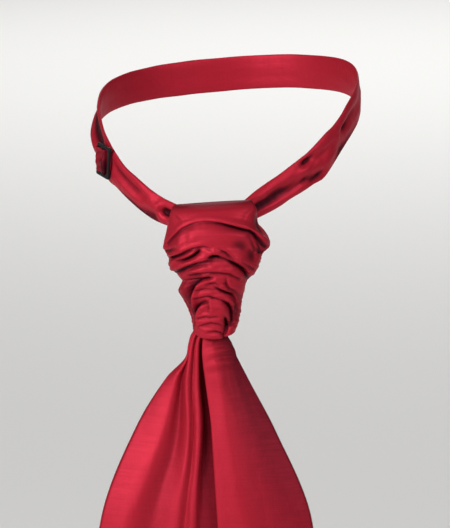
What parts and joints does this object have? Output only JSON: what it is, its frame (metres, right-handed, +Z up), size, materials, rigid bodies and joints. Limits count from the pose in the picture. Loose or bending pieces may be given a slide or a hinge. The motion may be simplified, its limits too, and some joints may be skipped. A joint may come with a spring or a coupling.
{
  "type": "ruched cravat",
  "caption": "Ready-tied silk cravat: a gathered knot on an adjustable neck band, with a pleated tail that widens to a point.",
  "frame": {"origin": "on the neck's axis, level with the middle of the band at the nape, where the cravat is held", "axes": "+Z up the neck, -Y the front of the wearer, +X the wearer's left"},
  "size_m": [0.137, 0.1804, 0.4073],
  "materials": {
    "silk": "burgundy silk satin with a soft sheen",
    "slide": "black enamel"
  },
  "bodies": {
    "root": {"neck_band_long": "silk", "neck_band_short": "silk", "strap_loop": "silk", "knot_sleeve": "silk", "tail": "silk", "adjuster_slide": "slide"}
  },
  "joints": []
}
